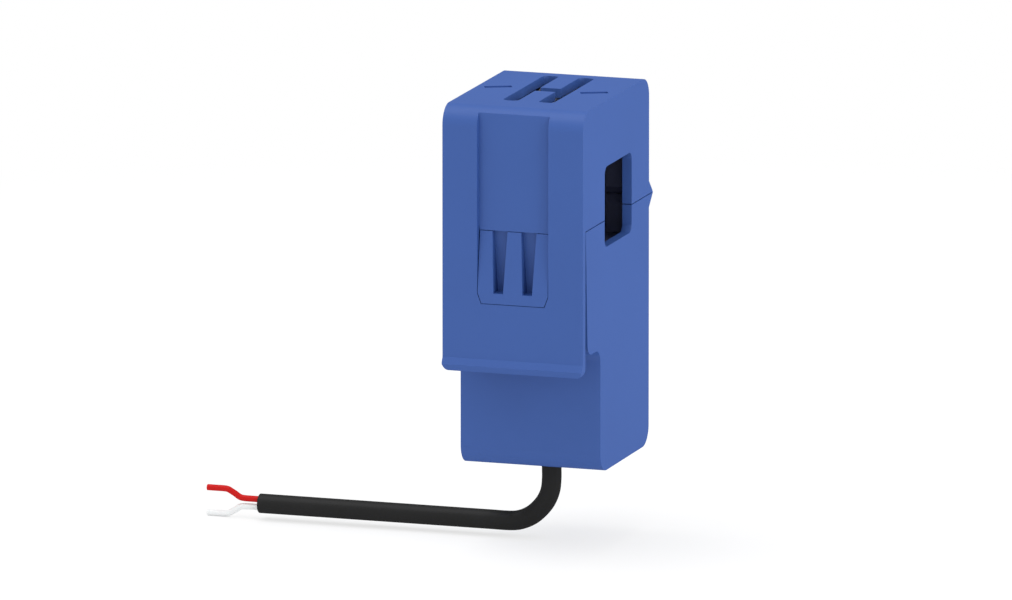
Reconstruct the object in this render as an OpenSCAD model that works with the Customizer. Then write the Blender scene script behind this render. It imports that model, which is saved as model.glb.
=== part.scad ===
// Clip-on split-core current transformer: hinged jaw, spring latch and two-core lead.
// Millimetres. +X runs along the measured conductor, -Y is the latch side, +Z is up.
// The origin is the centre of the conductor window. Depths (Y) are worked out from the
// latch face and heights (Z) from the base, and at_datum() moves every piece to the origin.

/* [Housing] */
// Width along the conductor
body_w = 22.3; // [20:0.1:30]
// Depth from the latch face to the hinge face
body_d = 32.4; // [31:0.1:40]
// Height from the base to the roof
body_h = 57; // [55:0.5:75]
// Height of the upper housing above the parting plane
upper_h = 18.3; // [15:0.1:22]
// Gap between the two housings at the parting plane
parting_gap = 0.15; // [0.05:0.01:0.4]
// Radius of the four long outer edges
corner_r = 3; // [1:0.1:5]
// Thickness of the side walls
side_wall = 1.5; // [1:0.1:2]
// Thickness of the hinge-side wall
rear_wall = 1.25; // [0.9:0.05:2]
// Thickness of the base
base_t = 1.5; // [1:0.1:3]
// Thickness of the roof and of its spring tongues
roof_t = 1.4; // [1:0.1:1.8]

/* [Conductor window] */
// Height of the window's centre above the parting plane
window_rise = 2; // [1.3:0.1:2.8]
// Opening from front to rear
window_d = 13.2; // [10:0.1:13.6]
// Opening from bottom to top
window_h = 12.4; // [10:0.1:12.8]
// Radius of the window's corners
window_r = 1.2; // [0.5:0.1:3]

/* [Living hinge] */
// Reach of the V-shaped hinge behind the rear face
hinge_reach = 1.9; // [1.2:0.1:3]
// Height of each half of the V on the rear face
hinge_rise = 2.05; // [1.5:0.05:3]
// Thickness of the flexing web at the tip
web_t = 0.5; // [0.3:0.05:0.8]
// Depth of the V groove inside the rear wall
groove_depth = 1.2; // [0.6:0.1:1.6]
// Height of each half of that groove
groove_rise = 1.4; // [0.8:0.1:2]

/* [Lower front] */
// Depth of the front block's face at the parting plane
block_top_y = 1.45; // [1.4:0.05:2]
// Depth of the same face at its foot
block_foot_y = 2.35; // [1.5:0.05:3]
// Radius of the block's lower edge
block_r = 2; // [0.5:0.1:2.5]
// Drop from the parting plane to the finger step under the block
step_drop = 19.4; // [18.7:0.1:20.2]
// Depth of the face under the step
step_y = 8.65; // [8:0.05:8.9]
// Radius inside the step
step_r = 2.2; // [0.5:0.1:2.5]
// Thickness of the block's front wall at its foot
block_wall = 1; // [0.8:0.1:1.3]
// Thickness of the wall under the step
step_wall = 1.25; // [1:0.05:1.5]

/* [Latch] */
// Thickness of the latch plate
plate_t = 1.3; // [1:0.05:1.35]
// Length of the plate below the parting plane
plate_l = 22.35; // [21.7:0.05:24.7]
// Radius of the plate's lower corners
plate_corner_r = 1.4; // [0.5:0.05:3]
// Reach of the lip in front of the plate
lip_reach = 0.55; // [0.3:0.05:1.5]
// Height of the lip above the plate's lower edge
lip_h = 2.05; // [1:0.05:6]
// Height of the lip's front edge above the plate's lower edge
lip_edge_h = 1; // [0:0.05:3.6]
// Width of the channel in the front and of the latch window below it
channel_w = 11.3; // [8:0.1:14]
// Depth of the channel
channel_depth = 0.9; // [0.4:0.05:1.1]
// Height of the latch window below the parting plane
latch_window_h = 11.8; // [10.7:0.1:13.7]
// Width of the chamfer at each lower corner of the latch window
chamfer_w = 0.6; // [0.3:0.05:1.5]
// Height of that chamfer
chamfer_h = 1.6; // [0.5:0.05:2]
// Clearance at the flexing root of the latch plate
root_gap = 0.03; // [0.02:0.01:0.08]

/* [Catch] */
// Clearance between the catch and the latch window
catch_gap = 0.08; // [0.06:0.01:0.3]
// Drop from the parting plane to the top of the catch
catch_drop = 0.65; // [0.3:0.05:1.5]
// Clearance between the catch and the lip of the upper housing that covers it
cover_gap = 0.1; // [0.05:0.01:0.3]
// Height above the latch window's foot at which the catch's ramp leaves the plate's face
ramp_rise = 2; // [0.2:0.1:6]
// Side taper of the catch at its top
catch_taper = 0.1; // [0:0.05:0.5]
// Distance of each groove from the middle
groove_x = 2.3; // [2:0.05:3]
// Width of a groove at its top
groove_top_w = 2.45; // [1:0.05:2.8]
// Width of a groove at its foot
groove_foot_w = 1.55; // [0.8:0.05:2]
// Height of the grooves' foot above the latch window's foot
groove_foot_rise = 1.7; // [0.2:0.1:6]
// Depth of the groove floor at the top
groove_top_y = 1.75; // [1.5:0.05:2]
// Depth of the groove floor at the foot
groove_foot_y = 2.4; // [2:0.05:2.5]

/* [Roof] */
// Distance of each long slot from the middle
slot_x = 2.83; // [2.5:0.01:4]
// Width of the long slots
slot_w = 2.45; // [1:0.05:3]
// Length of the long slots
slot_l = 20.4; // [14:0.1:22]
// Radius of their corners
slot_r = 0.8; // [0.2:0.05:1.2]
// Shift of the long slots behind the conductor window's middle
slot_shift = 0.2; // [-0.3:0.05:0.8]
// Shift of the cross slot and the marks in front of the conductor window's middle
cross_shift = 0.2; // [-0.8:0.05:1.3]
// Width of the cross slot between the tongues
cross_w = 2.6; // [1:0.1:4]
// Distance between the two engraved index marks
mark_spacing = 15.3; // [13:0.1:17]
// Shift of both marks to the left
mark_shift = 0.28; // [0:0.01:1]
// Length of a mark
mark_l = 4.2; // [2:0.1:5]
// Width of a mark
mark_w = 0.9; // [0.2:0.05:1.5]
// Depth of the engraving
mark_depth = 0.25; // [0.1:0.05:0.6]
// Angle of the marks from the width
mark_angle = 25; // [0:1:60]

/* [Core] */
// Thickness of the lower yoke
core_t = 5.8; // [5:0.1:5.9]
// Clearance between the core and the liners at the front and rear
core_clear = 0.2; // [0.1:0.05:1]
// Distance of the core's legs from the conductor window
leg_cover = 0.65; // [0.1:0.05:0.7]
// Space between the upper core and the roof
leaf_rise = 1.95; // [1:0.05:2.5]
// Thickness of the leaf spring in that space
leaf_t = 0.35; // [0.2:0.05:0.6]
// Distance of the leaf spring's edges from the core's sides
leaf_inset = 0.55; // [0:0.05:2]
// Length of the leaf spring
leaf_l = 21.5; // [16:0.1:24]

/* [Insulation] */
// Wall of the insulating liners
liner_t = 0.6; // [0.4:0.05:0.8]
// Clearance round fitted pieces
fit_gap = 0.05; // [0.03:0.01:0.08]
// Thickness of the core retainers
retainer_t = 0.8; // [0.5:0.05:1]
// Clearance between the upper retainer and the conductor window
retainer_gap = 0.15; // [0.05:0.05:0.4]
// Drop of the lower retainer below the conductor window
retainer_drop = 1.6; // [0.2:0.1:1.8]
// Distance of the liners' edges from the window at its front and rear
liner_set_back = 2; // [0.2:0.1:2.4]
// The same distance at the window's top and foot
liner_drop = 0.45; // [0.1:0.05:0.6]
// Width of the ledges that carry the retainers
ledge_w = 0.6; // [0.3:0.05:1]
// Height of those ledges
ledge_h = 0.8; // [0.4:0.05:1]

/* [Coil] */
// Wall of the bobbin round the yoke
bobbin_wall = 0.7; // [0.4:0.05:0.8]
// Build of the winding
winding_t = 2.3; // [1.5:0.05:2.4]
// Clearance between the bobbin's flanges and the liner
coil_gap = 0.3; // [0.1:0.05:1]
// Thickness of the tape over the winding
tape_t = 0.3; // [0.1:0.05:0.4]
// Thickness of the bobbin's flanges
flange_t = 1.2; // [0.8:0.05:1.5]
// Height of the flanges above the tape
flange_rise = 0.4; // [0.2:0.05:0.5]
// Diameter of the terminal pins
pin_d = 0.6; // [0.4:0.05:0.8]
// Distance of each pin from the middle
pin_x = 6; // [4:0.1:7]
// Depth of the pins in the flange
pin_depth = 1.5; // [1:0.1:3]

/* [Board] */
// Height of the liner's legs between the board and the coil's well
leg_h = 5.15; // [4.5:0.05:6.5]
// Thickness of the board
board_t = 1.2; // [0.8:0.1:1.6]
// Clearance round the board
board_gap = 0.4; // [0.2:0.05:0.8]
// Thickness of the ribs inside the lower housing
rib_t = 1.4; // [1:0.1:2]
// Reach of the side ribs under the board
rib_reach = 1.2; // [0.8:0.1:2]
// Diameter of the liner's legs on the board
leg_d = 1.6; // [1:0.1:2]
// Distance of the clamp diode's middle from the board's edge
diode_inset = 5.05; // [4:0.05:6]
// Distance of the clamp diode's middle behind the cable's middle
diode_behind = 2.4; // [2.35:0.05:2.7]
// Distance of the burden resistor's middle in front of the cable's middle
resistor_before = 3.15; // [1.8:0.05:4]
// Diameter of the burden resistor
resistor_d = 2.2; // [1.6:0.1:2.6]
// Length of the burden resistor
resistor_l = 6; // [4:0.1:7]
// Length of the clamp diode
diode_l = 4.4; // [3:0.1:5]
// Width of the clamp diode
diode_w = 3.6; // [2:0.1:4]
// Height of the clamp diode
diode_h = 2.3; // [1.5:0.1:3]

/* [Lead] */
// Outer diameter of the cable jacket
cable_d = 3; // [2:0.1:3.4]
// Distance of the cable in front of the hinge face
cable_inset = 13.4; // [12.4:0.1:15.4]
// Diameter of the two insulated wires
wire_d = 0.95; // [0.6:0.05:1]
// Distance of each wire from the jacket's middle
wire_offset = 0.62; // [0.5:0.01:0.7]
// Wall of the grommet between the cable and the base
grommet_wall = 1.1; // [0.8:0.1:2]
// Width of the grommet's flange beyond the hole
grommet_flange = 1; // [0.6:0.1:2]
// Thickness of that flange
grommet_t = 1; // [0.6:0.1:2]
// Thickness of the cable tie
tie_t = 0.8; // [0.5:0.1:1.2]
// Width of the cable tie
tie_w = 1.6; // [1:0.1:2]

/* [Hidden] */

$fn = 48;
over = 1;        // how far a cutter runs past the face it opens
over_fit = 0.01; // how far joined shapes reach into each other

blue = "#4461a3";
black = "#1c1d20";
red = "#c32020";
white = "#f2f2f3";

// Heights that hang on the parting plane
parting_z = body_h - upper_h;
window_z = parting_z + window_rise;
step_z = parting_z - step_drop;
plate_foot_z = parting_z - plate_l;
lip_top_z = plate_foot_z + lip_h;
lip_edge_z = plate_foot_z + lip_edge_h;
latch_window_z = parting_z - latch_window_h;
ramp_foot_z = latch_window_z + ramp_rise;
groove_foot_z = latch_window_z + groove_foot_rise;

// Inside faces of the housings
cavity_w = body_w - 2 * side_wall;
front_in = block_foot_y + block_wall;
rear_in = body_d - rear_wall;
roof_in = body_h - roof_t;
low_front_in = step_y + step_wall;
shelf_z = step_z + step_wall;
window_y = (front_in + rear_in) / 2;
slot_y = window_y + slot_shift;
cross_y = window_y - cross_shift;
cable_y = body_d - cable_inset;

// Living hinge: the web is a bead whose centre is the jaw's axis
web_r = web_t / 2;
hinge_y = body_d + hinge_reach - web_r;
web_chord = norm([hinge_y - body_d, hinge_rise]);
web_tangent = atan2(hinge_rise, hinge_y - body_d) + 180 + acos(web_r / web_chord);

// Latch plate: its root turns in the lower edge of the upper housing
root_y = plate_t / 2;
root_r = plate_t / 2;

// Catch on the lower housing
catch_top_z = parting_z - catch_drop;
catch_foot_z = latch_window_z + catch_gap;
catch_w = channel_w - 2 * catch_gap;
cover_z = catch_top_z + cover_gap;
cover_y = block_top_y - fit_gap;

// Liners
liner_w = cavity_w - 2 * fit_gap;
liner_in_w = liner_w - 2 * liner_t;
liner_front_y = front_in + fit_gap + liner_t;
liner_rear_y = rear_in - fit_gap - liner_t;

// Core: both halves stand on the parting plane, round the window and inside the coil
core_front_y = liner_front_y + core_clear;
core_d = liner_rear_y - core_clear - core_front_y;
core_gap = window_d + 2 * leg_cover;
leg_t = (core_d - core_gap) / 2;
coil_build = bobbin_wall + winding_t + tape_t + flange_rise;
core_w = liner_in_w - 2 * (coil_gap + coil_build + fit_gap);
leaf_w = core_w - 2 * leaf_inset;
window_top_z = window_z + window_h / 2;
window_foot_z = window_z - window_h / 2;
upper_retainer_z = window_top_z + retainer_gap;
lower_retainer_z = window_foot_z - retainer_drop - retainer_t;
upper_yoke_z = upper_retainer_z + retainer_t;
upper_yoke_t = roof_in - leaf_rise - upper_yoke_z;
lower_yoke_z = shelf_z + liner_t;
leaf_z = upper_yoke_z + upper_yoke_t;

// Coil round the lower yoke
tube_half_w = core_w / 2 + fit_gap;
tube_half_h = core_t / 2 + fit_gap;
winding_out = bobbin_wall + winding_t;
tape_out = winding_out + tape_t;
coil_z = lower_yoke_z + core_t / 2;
coil_front_y = low_front_in + fit_gap + liner_t + fit_gap;
well_rear_y = window_y + core_gap / 2;
coil_rear_y = well_rear_y - fit_gap;
coil_y = (coil_front_y + coil_rear_y) / 2;
coil_l = coil_rear_y - coil_front_y;
coil_foot_z = coil_z - tube_half_h - coil_build;
winding_l = coil_l - 2 * flange_t - 2 * fit_gap;

// Well for the coil and rims of both liners
well_z = coil_foot_z - fit_gap;
upper_rim_z = parting_z + parting_gap / 2;
lower_rim_z = parting_z - parting_gap / 2;
groove_slant = norm([groove_depth, groove_rise]);

// Circuit board
board_front_y = low_front_in + board_gap;
board_rear_y = well_rear_y + liner_t;
board_w = cavity_w - 2 * board_gap;
board_top_z = well_z - liner_t - leg_h;
board_z = board_top_z - board_t;
rear_rib_y = board_rear_y + board_gap;
board_y = (board_front_y + board_rear_y) / 2;
board_l = board_rear_y - board_front_y;
pin_y = coil_rear_y - flange_t / 2;
pin_hole_d = pin_d + 0.3;
wire_hole_d = wire_d + 0.15;
liner_leg_x = liner_in_w / 2 - leg_d;
liner_leg_y = board_l / 2 - leg_d;
side_rib_y = board_l / 4;
resistor_y = cable_y - resistor_before;
diode_x = diode_inset - board_w / 2;
diode_y = cable_y + diode_behind;
lead_wire_d = 0.6;

// Lead: round points chosen by hand, seen from the point where the cable leaves the base
jacket_route = [
    [0, 0, 5.6], [0, 0, 2.5], [0, 0, 0], [0, 0, -2], [0, 0, -3.5], [-0.2, 0, -5.3],
    [-0.9, 0, -7], [-2.1, 0, -8.5], [-3.5, 0, -9.6], [-5.2, 0, -10.3], [-7, 0, -10.5],
    [-10, 0, -10.5], [-16, 0, -10.5], [-22, 0, -10.5], [-28, 0, -10.5], [-34, 0, -10.5],
    [-40, 0, -10.5], [-46.9, 0, -10.5]
];
// Path of one free wire, seen from the jacket's end and from its middle
wire_route = [
    [0, 0, 0], [-1.6, 0, 0], [-2.4, 0, 0.05], [-2.9, 0, 0.2], [-3.5, 0, 0.6],
    [-4.2, 0, 1], [-4.7, 0, 1.25], [-5.4, 0, 1.33], [-6.4, 0, 1.33], [-8.45, 0, 1.33]
];
// Path of one lead inside the housing, seen from the jacket's inner end
lead_route = [
    [0, 0, 0], [0, 0, 0.6], [-0.2, 0, 1.4], [-1, 0, 2.6], [-1.7, 0, 3.5], [-1.9, 0, 4.2],
    [-1.9, 0, 5], [-1.9, 0, 6.4]
];
jacket_top = jacket_route[0];
jacket_end = jacket_route[len(jacket_route) - 1];
lead_hole_x = wire_offset - lead_route[len(lead_route) - 1].x;

// ---- Shared shapes ----

// Places a piece drawn from the latch face and the base at the window's centre
module at_datum() {
    translate([0, -window_y, -window_z]) children();
}

// A side view (depth, height) extruded along the width and centred on it
module across(w) {
    rotate([90, 0, 90]) linear_extrude(w, center = true) children();
}

// A front view (width, height) extruded backwards from depth y
module backwards(y, d) {
    translate([0, y + d, 0]) rotate([90, 0, 0]) linear_extrude(d) children();
}

// A top view (width, depth) extruded upwards from height z
module upwards(z, h) {
    translate([0, 0, z]) linear_extrude(h) children();
}

// A box centred on the width, from depth y and height z
module bar(w, y, d, z, h) {
    translate([-w / 2, y, z]) cube([w, d, h]);
}

// A rectangle from corner p with all four corners rounded
module rounded(p, size, r) {
    translate([p.x + r, p.y]) square([size.x - 2 * r, size.y]);
    translate([p.x, p.y + r]) square([size.x, size.y - 2 * r]);
    for (x = [p.x + r, p.x + size.x - r], y = [p.y + r, p.y + size.y - r])
        translate([x, y]) circle(r);
}

// What a fillet of radius r takes off a square corner at p that points to (sx, sy)
module corner_waste(p, r, sx, sy) {
    translate(p) mirror([sx < 0 ? 1 : 0, 0]) mirror([0, sy < 0 ? 1 : 0]) difference() {
        translate([-r, -r]) square(r + over);
        translate([-r, -r]) circle(r);
    }
}

function unit(v) = v / norm(v);
function along(path, i) = unit(path[min(i + 1, len(path) - 1)] - path[max(i - 1, 0)]);
function ring(p, t, r, sides) = [
    for (k = [0:sides - 1]) let (a = 360 * (k + 0.5) / sides)
        p + r * (cos(a) * [0, 1, 0] + sin(a) * cross(t, [0, 1, 0]))
];

// A round tube swept along a path that keeps to one depth
module tube(path, d, sides = 8) {
    n = len(path);
    polyhedron(
        points = [for (i = [0:n - 1]) each ring(path[i], along(path, i), d / 2, sides)],
        faces = concat(
            [[for (k = [0:sides - 1]) k]],
            [[for (k = [sides - 1:-1:0]) (n - 1) * sides + k]],
            [for (i = [0:n - 2], k = [0:sides - 1]) let (q = (k + 1) % sides)
                [i * sides + q, i * sides + k, (i + 1) * sides + k, (i + 1) * sides + q]]
        )
    );
}

// ---- Housing outlines, side view ----

module body_outline() {
    rounded([0, 0], [body_d, body_h], corner_r);
}

// Half of the V at the hinge below the parting plane, ending in the web
module hinge_ear() {
    polygon([
        [body_d - rear_wall, parting_z - hinge_rise], [body_d, parting_z - hinge_rise],
        [hinge_y + web_r * cos(web_tangent), parting_z + web_r * sin(web_tangent)],
        [hinge_y, parting_z], [body_d - rear_wall, parting_z]
    ]);
}

// Everything above or below a height
module above(z) {
    translate([-body_d, z]) square([3 * body_d, 2 * body_h]);
}
module below(z) {
    translate([-body_d, z - 2 * body_h]) square([3 * body_d, 2 * body_h]);
}

// V groove inside the rear wall, drawn t inside the housing's own face
module rear_groove(t) {
    half = groove_rise - t * (groove_slant - groove_rise) / groove_depth;
    polygon([
        [rear_in - t - over_fit, parting_z - half], [rear_in - t, parting_z - half],
        [rear_in + groove_depth - t * groove_slant / groove_rise, parting_z],
        [rear_in - t, parting_z + half], [rear_in - t - over_fit, parting_z + half]
    ]);
}

// Window through the sides, grown at its front and rear and at its top and foot
module window_cut(ends = 0, edges = 0) {
    across(body_w + 2 * over)
        rounded([window_y - window_d / 2 - ends, window_foot_z - edges],
            [window_d + 2 * ends, window_h + 2 * edges], window_r);
}

// ---- Jaw: upper housing, liner, core, spring ----

module upper_outline() {
    difference() {
        body_outline();
        below(upper_rim_z);
    }
}

// Upper half of the V, ending in a seat round the web
module upper_ear() {
    difference() {
        translate([0, 2 * parting_z]) mirror([0, 1]) hinge_ear();
        below(upper_rim_z);
        translate([hinge_y, parting_z]) circle(web_r + root_gap);
    }
}

module upper_cavity() {
    translate([front_in, parting_z - over]) square([rear_in - front_in, roof_in - parting_z + over]);
    rear_groove(0);
}

// Channel down the front, open at the top edge
module front_channel() {
    bar(channel_w, -over, channel_depth + over, parting_z - over, body_h);
}

// Seat for the flexing root of the latch plate, beside the channel
module root_seat() {
    arm_w = (body_w - channel_w) / 2;
    for (side = [-1, 1])
        translate([side * (body_w - arm_w) / 2, root_y, parting_z]) rotate([0, 90, 0])
            cylinder(r = root_r + root_gap, h = arm_w + over_fit, center = true);
}

// The two long slots and the cross slot that leave two spring tongues
module tongue_slots() {
    upwards(roof_in - over, roof_t + 2 * over) {
        for (side = [-1, 1])
            rounded([side * slot_x - slot_w / 2, slot_y - slot_l / 2], [slot_w, slot_l], slot_r);
        translate([-slot_x, cross_y - cross_w / 2]) square([2 * slot_x, cross_w]);
    }
}

module index_marks() {
    for (side = [-1, 1])
        translate([side * mark_spacing / 2 - mark_shift, cross_y, body_h])
            rotate([0, 0, mark_angle]) cube([mark_l, mark_w, 2 * mark_depth], center = true);
}

// Lip that carries the channel's floor down over the catch
module catch_cover() {
    bar(catch_w, channel_depth, cover_y - channel_depth, cover_z, upper_rim_z + over_fit - cover_z);
}

module upper_housing() color(blue) at_datum() {
    difference() {
        union() {
            across(body_w) upper_outline();
            across(body_w) upper_ear();
        }
        across(cavity_w) upper_cavity();
        window_cut();
        front_channel();
        root_seat();
        tongue_slots();
        index_marks();
    }
    catch_cover();
}

module upper_liner_shell() {
    difference() {
        across(liner_w) difference() {
            union() {
                translate([front_in + fit_gap, upper_rim_z])
                    square([rear_in - front_in - 2 * fit_gap, roof_in - upper_rim_z]);
                rear_groove(fit_gap);
            }
            below(upper_rim_z);
        }
        across(liner_in_w) {
            translate([liner_front_y, parting_z - over])
                square([liner_rear_y - liner_front_y, body_h]);
            rear_groove(fit_gap + liner_t);
        }
        window_cut(liner_set_back, liner_drop);
    }
}

// Ribs that centre the upper yoke between the side walls
module yoke_ribs() {
    rib_w = (liner_in_w - core_w) / 2 - fit_gap;
    for (side = [-1, 1], end = [-1, 1])
        translate([side * (liner_in_w - rib_w) / 2, window_y + end * core_gap / 2,
                   upper_yoke_z + upper_yoke_t / 2])
            cube([rib_w + over_fit, rib_t, upper_yoke_t - 2 * fit_gap], center = true);
}

// Ledges under a retainer, on both side walls from depth y to y + d
module ledges(y, d, z) {
    for (side = [-1, 1])
        translate([side * (liner_in_w - ledge_w) / 2, y + d / 2, z - ledge_h / 2])
            cube([ledge_w + over_fit, d, ledge_h], center = true);
}

module upper_liner() color(black) at_datum() {
    beside = (core_d - window_d) / 2 - ledge_w - liner_set_back;
    upper_liner_shell();
    yoke_ribs();
    for (y = [core_front_y + ledge_w, core_front_y + core_d - ledge_w - beside])
        ledges(y, beside, upper_retainer_z);
}

// Plate across a liner at the window's edge, with two open slots for the core's legs
module retainer(z) {
    upwards(z, retainer_t) difference() {
        translate([-liner_in_w / 2 + fit_gap, liner_front_y + fit_gap])
            square([liner_in_w - 2 * fit_gap, liner_rear_y - liner_front_y - 2 * fit_gap]);
        for (end = [-1, 1])
            translate([0, window_y + end * (core_gap / 2 - fit_gap + body_d / 2)])
                square([core_w + 2 * fit_gap, body_d], center = true);
    }
}

module upper_retainer() color(black) at_datum() retainer(upper_retainer_z);

// U-shaped half core: a yoke of thickness yoke_t and two legs
module half_core(yoke_z, yoke_t, leg_z, leg_h) {
    bar(core_w, core_front_y, core_d, yoke_z, yoke_t);
    for (y = [core_front_y, core_front_y + leg_t + core_gap])
        bar(core_w, y, leg_t, leg_z, leg_h);
}

module upper_core() color("#4a4a4c") at_datum()
    half_core(upper_yoke_z, upper_yoke_t, parting_z, leaf_z - parting_z);

// Bowed leaf: its middle bears on the yoke and its ends bear on the roof
module leaf_spring() color("#a9a59c") at_datum() {
    bow = roof_in - leaf_z - leaf_t;
    bow_r = (pow(leaf_l / 2, 2) + bow * bow) / (2 * bow);
    intersection() {
        translate([0, window_y, leaf_z + leaf_t + bow_r]) rotate([0, 90, 0]) difference() {
            cylinder(r = bow_r + leaf_t, h = leaf_w, center = true, $fn = 360);
            cylinder(r = bow_r, h = leaf_w + over, center = true, $fn = 360);
        }
        bar(leaf_w + over, window_y - leaf_l / 2, leaf_l, leaf_z - over, roof_in - leaf_z + over);
    }
}

// ---- Latch ----

module latch_section() {
    difference() {
        union() {
            translate([0, plate_foot_z]) square([plate_t, parting_z - plate_foot_z]);
            translate([root_y, parting_z]) circle(root_r);
            polygon([
                [over_fit, lip_top_z], [-lip_reach, lip_edge_z], [over_fit, plate_foot_z]
            ]);
        }
        corner_waste([plate_t, plate_foot_z], root_r, 1, -1);
    }
}

// Latch window with chamfered lower corners, grown by g on every side
module latch_window_outline(g) {
    half = channel_w / 2 + g;
    foot = latch_window_z - g;
    polygon([
        [-half, body_h], [-half, foot + chamfer_h], [-half + chamfer_w, foot],
        [half - chamfer_w, foot], [half, foot + chamfer_h], [half, body_h]
    ]);
}

module latch_plate() color(blue) at_datum() difference() {
    across(body_w) latch_section();
    backwards(-over, plate_t + 2 * over) latch_window_outline(0);
    backwards(-over, plate_t + 2 * over) for (side = [-1, 1])
        corner_waste([side * body_w / 2, plate_foot_z], plate_corner_r, side, -1);
}

// ---- Lower housing ----

// Space in front of and under the front block
module front_space() {
    lead_in = (block_foot_y - block_top_y) / (parting_z - step_z - block_r);
    translate([-over, -over]) square([step_y - step_r + over, step_z + over]);
    translate([-over, -over]) square([step_y + over, step_z - step_r + over]);
    translate([step_y - step_r, step_z - step_r]) circle(step_r);
    polygon([
        [-over, step_z - over], [block_foot_y, step_z - over], [block_foot_y, step_z + block_r],
        [block_top_y - lead_in * over, parting_z + over], [-over, parting_z + over]
    ]);
    corner_waste([block_foot_y, step_z], block_r, -1, -1);
    corner_waste([step_y, 0], corner_r, -1, -1);
}

module lower_outline() {
    difference() {
        body_outline();
        above(lower_rim_z);
        front_space();
    }
    difference() {
        hinge_ear();
        above(lower_rim_z);
    }
    translate([hinge_y, parting_z]) circle(web_r);
}

module lower_cavity() {
    translate([front_in, shelf_z]) square([rear_in - front_in, parting_z - shelf_z + over]);
    translate([low_front_in, base_t]) square([rear_in - low_front_in, parting_z - base_t + over]);
    rear_groove(0);
}

// Wedge that fills the latch window and holds the plate down
module catch_section() {
    polygon([
        [front_in, catch_top_z], [channel_depth, catch_top_z], [0, ramp_foot_z],
        [0, catch_foot_z], [front_in, catch_foot_z]
    ]);
}

module catch_front() {
    intersection() {
        latch_window_outline(-catch_gap);
        polygon([
            [-catch_w, catch_foot_z - over], [catch_w, catch_foot_z - over],
            [catch_w / 2 + over_fit, ramp_foot_z], [catch_w / 2 - catch_taper, catch_top_z + over_fit],
            [catch_taper - catch_w / 2, catch_top_z + over_fit], [-catch_w / 2 - over_fit, ramp_foot_z]
        ]);
    }
}

module catch_grooves() {
    intersection() {
        backwards(-over, front_in) for (side = [-1, 1])
            translate([side * groove_x, 0]) polygon([
                [-groove_foot_w / 2, groove_foot_z], [groove_foot_w / 2, groove_foot_z],
                [groove_top_w / 2, parting_z], [-groove_top_w / 2, parting_z]
            ]);
        across(body_w) polygon([
            [-over, groove_foot_z], [groove_foot_y, groove_foot_z],
            [groove_top_y, parting_z], [-over, parting_z]
        ]);
    }
}

module catch_wedge() {
    intersection() {
        across(channel_w) catch_section();
        backwards(-over, body_d) catch_front();
    }
}

// Ribs inside: two on each side under the board, two behind it under the liner's rear shelf
module inner_ribs() {
    for (side = [-1, 1]) {
        for (end = [-1, 1])
            translate([side * (cavity_w - rib_reach) / 2, board_y + end * side_rib_y - rib_t / 2, 0])
                translate([-rib_reach / 2 - over_fit, 0, base_t - over_fit])
                    cube([rib_reach + 2 * over_fit, rib_t, board_z - base_t + over_fit]);
        translate([side * core_w / 2 - rib_t / 2, rear_rib_y, base_t - over_fit])
            cube([rib_t, rear_in - rear_rib_y + over_fit, shelf_z - base_t + over_fit]);
    }
}

module lower_housing() color(blue) at_datum() {
    difference() {
        union() {
            across(body_w) lower_outline();
            catch_wedge();
        }
        across(cavity_w) lower_cavity();
        window_cut();
        catch_grooves();
        translate([0, cable_y, -over])
            cylinder(d = cable_d + 2 * grommet_wall, h = base_t + 2 * over);
    }
    inner_ribs();
}

// ---- Inside the lower housing ----

// Side view of the lower liner: a tray with a well for the coil, drawn t inside its outer face
function tray_outline(t) = [
    [front_in + fit_gap + t, body_h], [front_in + fit_gap + t, shelf_z + t],
    [low_front_in + fit_gap + t, shelf_z + t], [low_front_in + fit_gap + t, well_z - liner_t + t],
    [well_rear_y + liner_t - t, well_z - liner_t + t], [well_rear_y + liner_t - t, shelf_z + t],
    [rear_in - fit_gap - t, shelf_z + t], [rear_in - fit_gap - t, body_h]
];

// Legs that stand on the board and carry the well's floor
module liner_legs() {
    for (side = [-1, 1], end = [-1, 1])
        translate([side * liner_leg_x, board_y + end * liner_leg_y, board_top_z])
            cylinder(d = leg_d, h = well_z - board_top_z);
}

module lower_liner() color(black) at_datum() difference() {
    union() {
        difference() {
            across(liner_w) difference() {
                union() {
                    polygon(tray_outline(0));
                    rear_groove(fit_gap);
                }
                above(lower_rim_z);
            }
            across(liner_in_w) {
                polygon(tray_outline(liner_t));
                rear_groove(fit_gap + liner_t);
            }
        }
        liner_legs();
        ledges(window_y - window_d / 2, window_d, lower_retainer_z);
    }
    window_cut(liner_set_back, liner_drop);
    for (side = [-1, 1])
        translate([side * pin_x, pin_y, board_top_z]) cylinder(d = pin_hole_d + pin_d, h = well_z);
}

module lower_retainer() color(black) at_datum() retainer(lower_retainer_z);

module lower_core() color("#4a4a4c") at_datum()
    half_core(lower_yoke_z, core_t, lower_yoke_z, parting_z - lower_yoke_z);

// Front view of something g away from the yoke's tube, with corners of radius r
module coil_outline(g, r) {
    rounded([-tube_half_w - g, coil_z - tube_half_h - g],
        [2 * (tube_half_w + g), 2 * (tube_half_h + g)], r);
}

// Bobbin: a square tube with two flanges, split level with the yoke's middle
module whole_bobbin() {
    difference() {
        union() {
            backwards(coil_front_y, coil_l) coil_outline(bobbin_wall, bobbin_wall);
            for (y = [coil_front_y, coil_rear_y - flange_t])
                backwards(y, flange_t) coil_outline(coil_build, flange_rise);
        }
        bar(2 * tube_half_w, coil_front_y - over, coil_l + 2 * over,
            coil_z - tube_half_h, 2 * tube_half_h);
    }
}

module bobbin_upper() color(black) at_datum() intersection() {
    whole_bobbin();
    bar(body_w, coil_front_y - over, coil_l + 2 * over, coil_z, body_h);
}

module bobbin_lower() color(black) at_datum() difference() {
    whole_bobbin();
    bar(body_w, coil_front_y - over, coil_l + 2 * over, coil_z, body_h);
    pin_holes();
}

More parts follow.
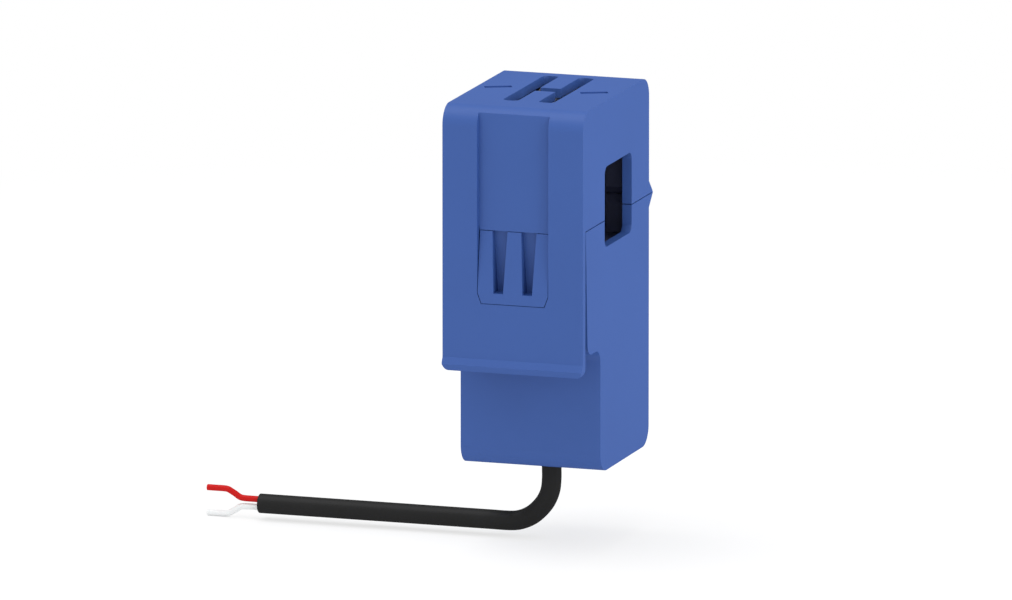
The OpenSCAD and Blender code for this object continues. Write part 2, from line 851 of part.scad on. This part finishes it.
// Two blind holes for the terminal pins in the rear flange's lower edge
module pin_holes() {
    for (side = [-1, 1])
        translate([side * pin_x, pin_y, coil_foot_z - over])
            cylinder(d = pin_d, h = pin_depth + over);
}

// A closed layer of the coil between two distances from the yoke's tube
module coil_layer(inner, outer, l) {
    backwards(coil_y - l / 2, l) difference() {
        coil_outline(outer, outer);
        coil_outline(inner, inner);
    }
}

module secondary_winding() color("#b0622e") at_datum()
    coil_layer(bobbin_wall, winding_out, winding_l);

module winding_tape() color("#d9b64a") at_datum()
    coil_layer(winding_out, tape_out, winding_l);

module terminal_pins() color("silver") at_datum() for (side = [-1, 1])
    translate([side * pin_x, pin_y, board_z - pin_d])
        cylinder(d = pin_d, h = coil_foot_z + pin_depth - board_z + pin_d);

module circuit_board() color("#2f6b45") at_datum() upwards(board_z, board_t) difference() {
    rounded([-board_w / 2, board_front_y], [board_w, board_l], 1);
    for (side = [-1, 1]) {
        translate([side * pin_x, pin_y]) circle(d = pin_hole_d);
        translate([side * lead_hole_x, cable_y]) circle(d = wire_hole_d);
        translate([side * (resistor_l / 2 + lead_wire_d), resistor_y]) circle(d = pin_hole_d);
    }
}

// Axial resistor lying on the board with its two leads turned down into it
module burden_resistor() color("#c9b48a") at_datum() translate([0, resistor_y, 0]) {
    axis_z = board_top_z + resistor_d / 2;
    translate([0, 0, axis_z]) rotate([0, 90, 0]) {
        cylinder(d = resistor_d, h = resistor_l, center = true);
        cylinder(d = lead_wire_d, h = resistor_l + 2 * lead_wire_d, center = true);
    }
    for (side = [-1, 1])
        translate([side * (resistor_l / 2 + lead_wire_d), 0, board_z - lead_wire_d])
            cylinder(d = lead_wire_d, h = axis_z + lead_wire_d / 2 - board_z + lead_wire_d);
}

// Surface-mounted clamp diode with its two tabs
module clamp_diode() color("#2a2a2c") at_datum() translate([diode_x, diode_y, board_top_z]) {
    translate([-diode_l / 2, -diode_w / 2, 0]) cube([diode_l, diode_w, diode_h]);
    for (side = [-1, 1])
        translate([side * diode_l / 2, 0, diode_h / 4])
            cube([2 * lead_wire_d, diode_w / 2, diode_h / 2], center = true);
}

// ---- Lead ----

module lead(side) {
    translate([side * wire_offset, cable_y, jacket_top.z]) mirror([side > 0 ? 1 : 0, 0, 0])
        tube(lead_route, wire_d);
}
module red_lead() color(red) at_datum() lead(-1);
module white_lead() color(white) at_datum() lead(1);

// Grommet in the base: a neck through the hole and a flange on the floor
module cable_grommet() color(black) at_datum() translate([0, cable_y, 0]) rotate_extrude() {
    bore_r = cable_d / 2 + fit_gap;
    neck_r = cable_d / 2 + grommet_wall - fit_gap;
    translate([bore_r, 0]) square([neck_r - bore_r, base_t + grommet_t]);
    translate([bore_r, base_t]) square([neck_r - bore_r + grommet_flange, grommet_t]);
}

// Tie round the jacket above the grommet, with its locking head
module cable_tie() color(white) at_datum() translate([0, cable_y, base_t + grommet_t]) difference() {
    union() {
        cylinder(d = cable_d + 2 * tie_t, h = tie_w);
        translate([-tie_w, cable_d / 2, 0]) cube([2 * tie_w, 2 * tie_t, tie_w + tie_t / 2]);
    }
    translate([0, 0, -over]) cylinder(r = cable_d / 2 + fit_gap, h = tie_w + 2 * over);
}

module cable_jacket() color(black) at_datum() translate([0, cable_y, 0])
    tube(jacket_route, cable_d);

module free_wire(side) {
    translate([0, cable_y, 0] + jacket_end) mirror([0, 0, side < 0 ? 1 : 0])
        translate([0, 0, wire_offset]) tube(wire_route, wire_d);
}
module red_wire() color(red) at_datum() free_wire(1);
module white_wire() color(white) at_datum() free_wire(-1);

upper_housing();
upper_liner();
upper_retainer();
upper_core();
leaf_spring();
latch_plate();
lower_housing();
lower_liner();
lower_retainer();
lower_core();
bobbin_upper();
bobbin_lower();
secondary_winding();
winding_tape();
terminal_pins();
circuit_board();
burden_resistor();
clamp_diode();
red_lead();
white_lead();
cable_grommet();
cable_tie();
cable_jacket();
red_wire();
white_wire();
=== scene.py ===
"""Looks of the clip-on current transformer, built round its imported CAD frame, in metres."""

import math

import bmesh
import bpy
from mathutils import Matrix, Vector
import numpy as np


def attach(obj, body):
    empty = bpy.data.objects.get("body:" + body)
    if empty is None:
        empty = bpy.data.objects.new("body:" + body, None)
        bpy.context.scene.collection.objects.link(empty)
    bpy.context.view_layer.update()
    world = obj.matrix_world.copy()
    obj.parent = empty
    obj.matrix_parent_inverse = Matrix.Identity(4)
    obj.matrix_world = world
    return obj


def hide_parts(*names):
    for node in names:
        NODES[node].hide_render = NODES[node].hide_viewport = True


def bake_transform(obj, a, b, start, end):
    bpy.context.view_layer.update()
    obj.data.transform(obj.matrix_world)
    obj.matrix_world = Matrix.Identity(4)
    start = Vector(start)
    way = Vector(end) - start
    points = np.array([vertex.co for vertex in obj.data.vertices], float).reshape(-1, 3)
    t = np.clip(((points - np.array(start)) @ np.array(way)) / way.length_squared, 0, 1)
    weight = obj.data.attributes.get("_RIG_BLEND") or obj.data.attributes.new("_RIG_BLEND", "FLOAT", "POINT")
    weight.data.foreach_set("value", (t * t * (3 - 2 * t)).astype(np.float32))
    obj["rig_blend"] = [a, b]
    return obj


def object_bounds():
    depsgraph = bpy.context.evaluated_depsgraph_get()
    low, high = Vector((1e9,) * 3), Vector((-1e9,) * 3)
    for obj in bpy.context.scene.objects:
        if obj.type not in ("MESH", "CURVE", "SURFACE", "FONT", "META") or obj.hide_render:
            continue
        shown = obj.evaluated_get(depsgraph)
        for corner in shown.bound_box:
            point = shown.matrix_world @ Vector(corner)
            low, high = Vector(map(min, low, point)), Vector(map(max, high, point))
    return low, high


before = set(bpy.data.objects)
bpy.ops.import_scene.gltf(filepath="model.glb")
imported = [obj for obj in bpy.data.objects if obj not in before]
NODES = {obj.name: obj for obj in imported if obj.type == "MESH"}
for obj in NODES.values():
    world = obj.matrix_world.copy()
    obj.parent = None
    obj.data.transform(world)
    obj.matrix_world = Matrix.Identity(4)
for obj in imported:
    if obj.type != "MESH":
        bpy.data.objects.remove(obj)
CAD_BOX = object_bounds()
MM = 0.001

# Sizes of the CAD's housing in mm. The frame's origin is the conductor window's middle:
# WINDOW_Y behind the latch face and WINDOW_Z above the base
WINDOW_Y, WINDOW_Z = 17.25, 40.7
BODY_W, BODY_H = 22.3, 57.0
PARTING_Z = 38.7


def point(x, y, z):
    """Housing millimetres (depth from the latch face, height from the base) to the frame."""
    return Vector((x * MM, (y - WINDOW_Y) * MM, (z - WINDOW_Z) * MM))


def link_object(name, data):
    obj = bpy.data.objects.new(name, data)
    bpy.context.scene.collection.objects.link(obj)
    return obj


# ---- Camera ----

PHOTO_W = 1012
PX_PER_MM = 6.588
AZIMUTH, ELEVATION = math.radians(18.286), math.radians(11.511)
# A long lens stands in for the photo's parallel view
LENS, SENSOR = 800.0, 36.0
CLIP_START, CLIP_END = 0.1, 30
# Middle of the view, in mm to the right of, above and in front of the origin
AIM = (-6.398, -15.885, -6.879)


def make_camera():
    """The photo's view: direction, scale and middle as measured from its axes."""
    back = Vector((math.sin(AZIMUTH) * math.cos(ELEVATION),
                   -math.cos(AZIMUTH) * math.cos(ELEVATION), math.sin(ELEVATION)))
    right = Vector((math.cos(AZIMUTH), math.sin(AZIMUTH), 0))
    up = back.cross(right)
    aim = (right * AIM[0] + up * AIM[1] + back * AIM[2]) * MM
    distance = PHOTO_W * MM / PX_PER_MM / 2 / (SENSOR / 2 / LENS)
    data = bpy.data.cameras.new("camera")
    data.lens, data.sensor_width = LENS, SENSOR
    data.clip_start, data.clip_end = CLIP_START, CLIP_END
    cam = link_object("camera", data)
    cam.rotation_mode = "QUATERNION"
    cam.location = aim + back * distance
    cam.rotation_quaternion = (-back).to_track_quat("-Z", "Y")
    bpy.context.scene.camera = cam


make_camera()

# ---- Materials ----


def linear(rgb):
    """sRGB 0-255 to linear colour."""
    out = []
    for c in rgb:
        c /= 255
        out.append(c / 12.92 if c <= 0.04045 else ((c + 0.055) / 1.055) ** 2.4)
    return (*out, 1.0)


class NodeTree:
    """A new material's nodes, with shorthands for adding and linking them."""

    def __init__(self, name):
        self.material = bpy.data.materials.new(name)
        self.material.use_nodes = True
        self.tree = self.material.node_tree
        self.shader = self.tree.nodes["Principled BSDF"]
        self.coords = self.add("ShaderNodeTexCoord").outputs["Object"]

    def add(self, kind, **values):
        node = self.tree.nodes.new(kind)
        for key, value in values.items():
            setattr(node, key, value)
        return node

    def link(self, a, b):
        self.tree.links.new(a, b)

    def noise(self, scale, detail, roughness, coords=None):
        node = self.add("ShaderNodeTexNoise")
        node.inputs["Scale"].default_value = scale
        node.inputs["Detail"].default_value = detail
        node.inputs["Roughness"].default_value = roughness
        self.link(coords or self.coords, node.inputs["Vector"])
        return node.outputs["Fac"]

    def stretched(self, x, y, z):
        """Object coordinates with a scale of their own on each axis."""
        node = self.add("ShaderNodeMapping")
        node.inputs["Scale"].default_value = (x, y, z)
        self.link(self.coords, node.inputs["Vector"])
        return node.outputs["Vector"]

    def remap(self, value, low, high, from_low=0.3, from_high=0.7):
        """Maps a range to low-high, by default the range that a noise mostly fills."""
        node = self.add("ShaderNodeMapRange")
        node.inputs["From Min"].default_value = from_low
        node.inputs["From Max"].default_value = from_high
        node.inputs["To Min"].default_value = low
        node.inputs["To Max"].default_value = high
        self.link(value, node.inputs["Value"])
        return node.outputs["Result"]

    def two_tone(self, value, a, b):
        node = self.add("ShaderNodeMix", data_type="RGBA")
        self.link(value, node.inputs[0])
        node.inputs[6].default_value, node.inputs[7].default_value = a, b
        return node.outputs[2]

    def bump(self, height, distance):
        node = self.add("ShaderNodeBump")
        node.inputs["Distance"].default_value = distance
        node.inputs["Strength"].default_value = 1.0
        self.link(height, node.inputs["Height"])
        return node.outputs["Normal"]


def tinted(color, factor):
    """A linear colour made lighter or darker."""
    return (*[min(1.0, c * factor) for c in color[:3]], 1.0)


COAT_IOR = 2.0


def surface(name, rgb, roughness, grain=2500, grain_depth=0.004, blotch=120, contrast=0.03,
            spread=0.05, metallic=0.0, specular=0.5, stretch=None, sheen_coat=0.0,
            coat_roughness=0.42):
    """A plastic, rubber or metal with a fine grain, soft blotches and an uneven gloss.

    Grain and blotch are noise scales per metre, and grain_depth is in mm.
    """
    n = NodeTree(name)
    color = linear(rgb)
    coords = n.stretched(*stretch) if stretch else n.coords
    fine = n.noise(grain, detail=4.0, roughness=0.6, coords=coords)
    broad = n.noise(blotch, detail=3.0, roughness=0.5)
    mixed = n.two_tone(n.remap(broad, 0, 1), tinted(color, 1 - contrast),
                       tinted(color, 1 + contrast))
    n.link(mixed, n.shader.inputs["Base Color"])
    n.link(n.remap(fine, roughness - spread, roughness + spread), n.shader.inputs["Roughness"])
    n.link(n.bump(fine, grain_depth * MM), n.shader.inputs["Normal"])
    n.shader.inputs["Metallic"].default_value = metallic
    n.shader.inputs["Specular IOR Level"].default_value = specular
    n.shader.inputs["Coat Weight"].default_value = sheen_coat
    n.shader.inputs["Coat Roughness"].default_value = coat_roughness
    n.shader.inputs["Coat IOR"].default_value = COAT_IOR
    return n.material


BLUE = surface("blue_plastic", (56, 86, 151), 0.72, grain=1800, grain_depth=0.006,
               blotch=60, contrast=0.02, spread=0.06, specular=0.0, sheen_coat=0.15)
LINER = surface("black_liner", (79, 84, 115), 0.6, grain=2200, contrast=0.08)
FERRITE = surface("ferrite", (74, 74, 77), 0.5, grain=3500, grain_depth=0.01, blotch=900,
                  contrast=0.15, spread=0.1, metallic=0.15)
SPRING = surface("spring_steel", (196, 193, 186), 0.4, grain=1500, grain_depth=0.002,
                 contrast=0.06, spread=0.08, metallic=0.5, stretch=(6, 0.35, 1))
COPPER = surface("enamelled_copper", (176, 98, 46), 0.3, grain=500, grain_depth=0.03,
                 contrast=0.08, metallic=0.9, stretch=(0.05, 6, 0.05), sheen_coat=0.3,
                 coat_roughness=0.2)
TAPE = surface("polyester_tape", (217, 182, 74), 0.25, grain=900, grain_depth=0.004,
               contrast=0.05)
TINNED = surface("tinned_brass", (200, 200, 194), 0.25, grain=1500, contrast=0.05, metallic=1.0)
BOARD = surface("board", (47, 107, 69), 0.35, grain=1200, grain_depth=0.003, contrast=0.06,
                stretch=(1, 1, 0.2))
RESISTOR = surface("resistor_lacquer", (201, 180, 138), 0.35, grain=1500, contrast=0.06)
DIODE = surface("diode_body", (42, 42, 44), 0.45, grain=3000, contrast=0.08)
GROMMET = surface("grommet_rubber", (38, 38, 38), 0.55, grain=2500, contrast=0.08)
NYLON = surface("nylon", (230, 230, 222), 0.35, grain=1500, contrast=0.03)
JACKET = surface("cable_jacket", (29, 29, 29), 0.5, grain=1600, grain_depth=0.008,
                 contrast=0.08, spread=0.08, specular=0.0, sheen_coat=0.1)
RED = surface("red_insulation", (190, 22, 20), 0.5, grain=1800, grain_depth=0.001,
              contrast=0.03, specular=0.0, sheen_coat=0.1)
WHITE = surface("white_insulation", (231, 234, 234), 0.5, grain=1800, grain_depth=0.001,
                contrast=0.01, specular=0.0, sheen_coat=0.1)

# ---- Mesh work ----

# Points closer than this are one, in metres
WELD = 1e-7
# Facets that meet below FLAT are merged, edges above SHARP get a radius of EDGE mm, and what is
# left above CREASE is shaded as a crease
FLAT, SHARP, CREASE = math.radians(0.4), math.radians(24), math.radians(50)
EDGE, EDGE_SEGMENTS = 0.09, 2
# What CREASE is on swept tubes
TUBE_CREASE = math.radians(45)
# How much large faces rule the shading at their edges
FACE_WEIGHT = 80


def object_from(bm, name):
    """A linked object from a bmesh, which is freed."""
    mesh = bpy.data.meshes.new(name)
    bm.to_mesh(mesh)
    bm.free()
    return link_object(name, mesh)


def plain_copy(name, node):
    """A node's mesh as a fresh welded object without its stored normals."""
    bm = bmesh.new()
    bm.from_mesh(NODES[node].data)
    bmesh.ops.remove_doubles(bm, verts=bm.verts, dist=WELD)
    copy = object_from(bm, name)
    attributes = copy.data.attributes
    for extra in ("custom_normal", "sharp_edge", "sharp_face"):
        if extra in attributes:
            attributes.remove(attributes[extra])
    return copy


def united(obj, others):
    """Joins other closed meshes into obj for good."""
    for other in others:
        step = obj.modifiers.new("join", "BOOLEAN")
        step.operation, step.solver, step.object = "UNION", "EXACT", other
    bpy.context.view_layer.update()
    made = bpy.data.meshes.new_from_object(
        obj.evaluated_get(bpy.context.evaluated_depsgraph_get()))
    obj.modifiers.clear()
    obj.data = made
    for other in others:
        bpy.data.objects.remove(other)
    return obj


def softened(obj, material):
    """Merges flat facets and gives every sharp edge a small moulded radius."""
    mesh = obj.data
    bm = bmesh.new()
    bm.from_mesh(mesh)
    bmesh.ops.remove_doubles(bm, verts=bm.verts, dist=WELD)
    bmesh.ops.dissolve_limit(bm, angle_limit=FLAT, verts=bm.verts, edges=bm.edges)
    edges = [e for e in bm.edges if e.is_manifold and e.calc_face_angle(0) > SHARP]
    bmesh.ops.bevel(bm, geom=edges, offset=EDGE * MM, offset_type="OFFSET",
                    segments=EDGE_SEGMENTS, profile=0.5, affect="EDGES", clamp_overlap=True,
                    miter_outer="ARC")
    for face in bm.faces:
        face.smooth = True
    bm.to_mesh(mesh)
    bm.free()
    mesh.materials.clear()
    mesh.materials.append(material)
    mesh.set_sharp_from_angle(angle=CREASE)
    weigh = obj.modifiers.new("weigh", "WEIGHTED_NORMAL")
    weigh.keep_sharp, weigh.weight = True, FACE_WEIGHT
    return obj


def block(name, low, high):
    """A box between two corners."""
    bm = bmesh.new()
    bmesh.ops.create_cube(bm, size=1)
    middle, size = (low + high) / 2, high - low
    for v in bm.verts:
        v.co = Vector((v.co.x * size.x, v.co.y * size.y, v.co.z * size.z)) + middle
    return object_from(bm, name)


def sweep(path, radii, sides):
    """Rings of a round tube round a path that lies in one depth plane, as lists of points."""
    rings = []
    side = Vector((0, 1, 0))
    for i, p in enumerate(path):
        ahead = (path[min(i + 1, len(path) - 1)] - path[max(i - 1, 0)]).normalized()
        other = ahead.cross(side)
        rings.append([p + radii[i] * (math.cos(a) * side + math.sin(a) * other)
                      for a in (2 * math.pi * k / sides for k in range(sides))])
    return rings


def add_tube(bm, rings):
    """Adds a closed skin over rings of equal count."""
    rows = [[bm.verts.new(p) for p in ring] for ring in rings]
    n = len(rows[0])
    for a, b in zip(rows, rows[1:]):
        for k in range(n):
            bm.faces.new((a[k], a[(k + 1) % n], b[(k + 1) % n], b[k]))
    bm.faces.new(rows[0][::-1])
    bm.faces.new(rows[-1])


def smooth_path(points, per=6):
    """A Catmull-Rom line through points, with per steps from one to the next."""
    out = []
    ext = [2 * points[0] - points[1], *points, 2 * points[-1] - points[-2]]
    for i in range(1, len(ext) - 2):
        p0, p1, p2, p3 = ext[i - 1:i + 3]
        for k in range(per):
            t = k / per
            out.append(0.5 * (2 * p1 + (p2 - p0) * t + (2 * p0 - 5 * p1 + 4 * p2 - p3) * t * t
                              + (3 * p1 - p0 - 3 * p2 + p3) * t ** 3))
    out.append(points[-1])
    return out


# ---- Lead ----

CABLE_Y = 19.0
EXIT = point(0, CABLE_Y, 0)
CABLE_D, CABLE_LIP, CABLE_SIDES = 3.0, 0.12, 40
WIRE_D, WIRE_LIP, WIRE_SIDES = 0.95, 0.1, 28
# Each wire's distance above or below the jacket's middle at the cut end
WIRE_OFFSET = 0.62
# Sideways and height in mm from the exit in the base, down and along to the cut end
JACKET_ROUTE = [
    (0, 5.6), (0, 2.5), (0, 0), (0, -2), (0, -3.5), (-0.2, -5.3), (-0.9, -7), (-2.1, -8.5),
    (-3.5, -9.6), (-5.2, -10.3), (-7, -10.5), (-10, -10.5), (-16, -10.5), (-22, -10.5),
    (-28, -10.5), (-34, -10.5), (-40, -10.5), (-46.9, -10.5),
]
# Sideways from the cut end, from inside the bore, and how far the wires part from each other
WIRE_ROUTE = [
    (0.85, 0), (0, 0), (-2, 0), (-2.8, 0.05), (-3.3, 0.2), (-3.9, 0.6), (-4.6, 1),
    (-5.1, 1.25), (-5.8, 1.33), (-6.8, 1.33), (-8.45, 1.33),
]
# Rings of a hollow end: distance back from the end and radius, in mm
JACKET_MOUTH = ((0, 1.14), (0.06, 1.08), (0.9, 1.06))
WIRE_MOUTH = ((0.0, 0.27), (0.3, 0.26))
# Bare copper in a wire's end: strands in a ring round one in the middle
STRANDS_ROUND, STRAND_RING, STRAND_R, STRAND_SIDES = 6, 0.168, 0.082, 10
STRAND_L, STRAND_SUNK = 0.2, 0.08
STRAND_TIP_L, STRAND_TIP_R = 0.02, 0.05


def end_direction(path):
    return (path[-1] - path[-2]).normalized()


def rounded_end(path, radius, lip, steps=4):
    """Adds a small rounded lip to the last stretch of a swept path: (points, radii)."""
    end, ahead = path[-1], end_direction(path)
    pts = [*path[:-1], end - ahead * lip]
    radii = [radius] * len(pts)
    for k in range(1, steps + 1):
        a = math.pi / 2 / steps * k
        pts.append(end - ahead * lip * (1 - math.sin(a)))
        radii.append(radius - lip * (1 - math.cos(a)))
    return pts, radii


def end_ring(path, back, radius, sides):
    """One ring round a path, a distance back from its end."""
    ahead = end_direction(path)
    centre = path[-1] - ahead * back * MM
    return sweep([centre - ahead * MM, centre, centre + ahead * MM], [radius * MM] * 3, sides)[1]


def make_tube(name, path, diameter, lip, mouth, sides, material):
    """A round tube along a path, with a rounded lip and a bore at its far end."""
    pts, radii = rounded_end(path, diameter / 2 * MM, lip * MM)
    rings = sweep(pts, radii, sides)
    rings += [end_ring(path, back, radius, sides) for back, radius in mouth]
    bm = bmesh.new()
    add_tube(bm, rings)
    bmesh.ops.recalc_face_normals(bm, faces=bm.faces)
    for face in bm.faces:
        face.smooth = True
    tube = object_from(bm, name)
    tube.data.materials.append(material)
    tube.data.set_sharp_from_angle(angle=TUBE_CREASE)
    return tube


def make_strands(name, path):
    """The bare copper in a wire's cut end."""
    ahead = end_direction(path)
    bm = bmesh.new()
    for k in range(STRANDS_ROUND + 1):
        a, r = 2 * math.pi / STRANDS_ROUND * k, 0.0 if k == STRANDS_ROUND else STRAND_RING
        tip = (path[-1] - ahead * STRAND_SUNK * MM
               + Vector((0, math.cos(a), math.sin(a))) * r * MM)
        line = [tip - ahead * STRAND_L * MM, tip, tip + ahead * STRAND_TIP_L * MM]
        radii = [STRAND_R * MM, STRAND_R * MM, STRAND_TIP_R * MM]
        add_tube(bm, sweep(line, radii, STRAND_SIDES))
    bmesh.ops.recalc_face_normals(bm, faces=bm.faces)
    strands = object_from(bm, name)
    strands.data.materials.append(COPPER)
    return strands


def make_jacket():
    """The cable's jacket, and the path that its middle follows."""
    path = smooth_path([EXIT + Vector((x, 0, z)) * MM for x, z in JACKET_ROUTE])
    return make_tube("jacket", path, CABLE_D, CABLE_LIP, JACKET_MOUTH, CABLE_SIDES, JACKET), path


def make_wire(name, side, material, start):
    """A free wire above (side 1) or below (side -1) the jacket's middle, and its strands."""
    path = smooth_path([start + Vector((x, 0, side * (WIRE_OFFSET + z))) * MM
                        for x, z in WIRE_ROUTE])
    wire = make_tube(name, path, WIRE_D, WIRE_LIP, WIRE_MOUTH, WIRE_SIDES, material)
    return wire, make_strands(name + "_strands", path)


jacket, jacket_path = make_jacket()
wires = []
for wire_name, wire_side, wire_material, wire_slot in (
        ("red_insulated_wire", 1, RED, "red_insulation"),
        ("white_insulated_wire", -1, WHITE, "white_insulation")):
    wire, strands = make_wire(wire_name, wire_side, wire_material, jacket_path[-1])
    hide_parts("red_wire" if wire_side > 0 else "white_wire")
    wires += [wire, strands]
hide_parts("cable_jacket")
for piece in (jacket, *wires):
    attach(piece, "lower")

# ---- Housing ----

PLATE_T, CHANNEL_W = 1.3, 11.3
# How far a filler reaches above and below the gap at the latch plate's root
FILLER_REACH = 0.9
# The latch plate's lower end, its corner radius in the CAD, and the share of that in width here
PLATE_FOOT_Z, FOOT_R, FOOT_NARROW = 16.35, 1.4, 0.64
# The two slanted marks on the roof as in the CAD, how many times wider they are here, and how
# close to a corner of theirs a point lies that belongs to them
MARK_SPACING, MARK_SHIFT, MARK_Y, MARK_ANGLE = 15.3, 0.28, 17.05, math.radians(25)
MARK_L, MARK_W, MARK_DEPTH, MARK_WIDER = 4.2, 0.9, 0.25, 1.5
MARK_SLACK = 0.01


def narrow_foot_fillets(plate):
    """Makes the latch plate's lower corners taller than wide."""
    for v in plate.data.vertices:
        inset = BODY_W / 2 * MM - abs(v.co.x)
        if inset < FOOT_R * MM and v.co.z < point(0, 0, PLATE_FOOT_Z + FOOT_R).z:
            v.co.x = math.copysign(BODY_W / 2 * MM - inset * FOOT_NARROW, v.co.x)
    return plate


def widen_marks(housing):
    """Moves the long walls of the roof's marks apart."""
    turn = Matrix.Rotation(MARK_ANGLE, 3, "Z")
    reach = Vector((MARK_L / 2, MARK_W / 2, MARK_DEPTH)) * MM
    for side in (-1, 1):
        middle = point(side * MARK_SPACING / 2 - MARK_SHIFT, MARK_Y, BODY_H)
        for v in housing.data.vertices:
            place = (v.co - middle) @ turn
            if all(abs(a) < b + MARK_SLACK * MM for a, b in zip(place, reach)):
                place.y *= MARK_WIDER
                v.co = turn @ place + middle
    return housing


# Upper housing and latch plate are one moulding: two fillers close the CAD's gap at the root
fillers = []
for s in (-1, 1):
    edges_x = sorted((s * CHANNEL_W / 2, s * BODY_W / 2))
    fillers.append(block(f"root_filler_{s}", point(edges_x[0], 0, PARTING_Z - FILLER_REACH),
                         point(edges_x[1], PLATE_T, PARTING_Z + FILLER_REACH)))
moulding = united(widen_marks(plain_copy("upper_moulding", "upper_housing")),
                  [narrow_foot_fillets(plain_copy("latch_copy", "latch_plate")), *fillers])
softened(moulding, BLUE)
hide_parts("upper_housing", "latch_plate")
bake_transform(moulding, "upper", "latch", start=point(0, 0, PARTING_Z - 0.2),
         end=point(0, 0, PARTING_Z - 7))

lower = softened(plain_copy("lower_moulding", "lower_housing"), BLUE)
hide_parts("lower_housing")
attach(lower, "lower")

# ---- CAD nodes that stay ----

for node, material in {
        "upper_liner": LINER, "lower_liner": LINER, "upper_retainer": LINER,
        "lower_retainer": LINER, "bobbin_upper": LINER, "bobbin_lower": LINER,
        "upper_core": FERRITE, "lower_core": FERRITE, "leaf_spring": SPRING,
        "secondary_winding": COPPER, "winding_tape": TAPE, "terminal_pins": TINNED,
        "circuit_board": BOARD, "burden_resistor": RESISTOR, "clamp_diode": DIODE,
        "red_lead": RED, "white_lead": WHITE, "cable_grommet": GROMMET, "cable_tie": NYLON,
}.items():
    mesh = NODES[node].data
    mesh.materials.clear()
    mesh.materials.append(material)

# ---- Floor, background and light ----


def seen_directly(tree):
    """1 for camera, glossy and transmission rays, else 0."""
    path = tree.nodes.new("ShaderNodeLightPath")
    total = path.outputs["Is Camera Ray"]
    for name in ("Is Glossy Ray", "Is Transmission Ray"):
        more = tree.nodes.new("ShaderNodeMath")
        more.operation = "MAXIMUM"
        tree.links.new(total, more.inputs[0])
        tree.links.new(path.outputs[name], more.inputs[1])
        total = more.outputs[0]
    return total


# The floor just clears the white wire, which lies lowest
FLOOR_Z = CAD_BOX[0].z - 0.06 * MM
FLOOR_REACH = 4
FLOOR_GREY, FLOOR_ROUGHNESS = (0.88, 0.88, 0.88, 1), 0.9
# Share of the floor's own shading near the object, and from where to where it fades out to
# plain white, in metres from its middle
FLOOR_SHADE = 0.35
SHADE_FULL, SHADE_GONE = 0.1, 0.3
PURE_WHITE = (1, 1, 1, 1)
# What lights the object from all round. The camera sees a world of strength 1
AMBIENT = 0.72


def make_floor():
    """A floor with a soft shadow that fades out to the photo's white."""
    bm = bmesh.new()
    bmesh.ops.create_grid(bm, x_segments=1, y_segments=1, size=FLOOR_REACH)
    floor = object_from(bm, "floor")
    floor.location = (0, 0, FLOOR_Z)
    n = NodeTree("floor")
    n.shader.inputs["Base Color"].default_value = FLOOR_GREY
    n.shader.inputs["Roughness"].default_value = FLOOR_ROUGHNESS
    n.shader.inputs["Specular IOR Level"].default_value = 0.0
    glow = n.add("ShaderNodeEmission")
    glow.inputs["Strength"].default_value = 1.0
    far = n.add("ShaderNodeVectorMath", operation="LENGTH")
    n.link(n.coords, far.inputs[0])
    white = n.remap(far.outputs["Value"], 1 - FLOOR_SHADE, 1, SHADE_FULL, SHADE_GONE)
    share = n.add("ShaderNodeMath", operation="MULTIPLY")
    n.link(seen_directly(n.tree), share.inputs[0])
    n.link(white, share.inputs[1])
    mix = n.add("ShaderNodeMixShader")
    n.link(share.outputs[0], mix.inputs[0])
    n.link(n.shader.outputs[0], mix.inputs[1])
    n.link(glow.outputs[0], mix.inputs[2])
    n.link(mix.outputs[0], n.tree.nodes["Material Output"].inputs["Surface"])
    floor.data.materials.append(n.material)


def make_world():
    """White all round: plain for light, and brighter where it is seen."""
    world = bpy.data.worlds.new("studio")
    bpy.context.scene.world = world
    world.use_nodes = True
    tree = world.node_tree
    plain = tree.nodes["Background"]
    plain.inputs["Color"].default_value = PURE_WHITE
    plain.inputs["Strength"].default_value = AMBIENT
    seen = tree.nodes.new("ShaderNodeBackground")
    seen.inputs["Color"].default_value = PURE_WHITE
    seen.inputs["Strength"].default_value = 1.0
    mix = tree.nodes.new("ShaderNodeMixShader")
    tree.links.new(seen_directly(tree), mix.inputs[0])
    tree.links.new(plain.outputs[0], mix.inputs[1])
    tree.links.new(seen.outputs[0], mix.inputs[2])
    tree.links.new(mix.outputs[0], tree.nodes["World Output"].inputs["Surface"])


def lamp(name, place, size, watts):
    """A square lamp that faces the origin."""
    data = bpy.data.lights.new(name, "AREA")
    data.shape, data.size, data.energy = "SQUARE", size, watts
    obj = link_object(name, data)
    obj.location = place
    obj.rotation_mode = "QUATERNION"
    obj.rotation_quaternion = (-Vector(place)).to_track_quat("-Z", "Y")


make_floor()
make_world()
lamp("right", (1.1, -0.2, 0.45), 1.0, 7.8)
lamp("overhead", (-0.43, -0.14, 1.33), 1.4, 13.5)
lamp("front", (-0.7, -1.4, 0.6), 1.2, 0.5)
lamp("viewer", (0.48, -1.6, 0.3), 0.8, 1.5)

bpy.context.scene.view_settings.view_transform = "Standard"
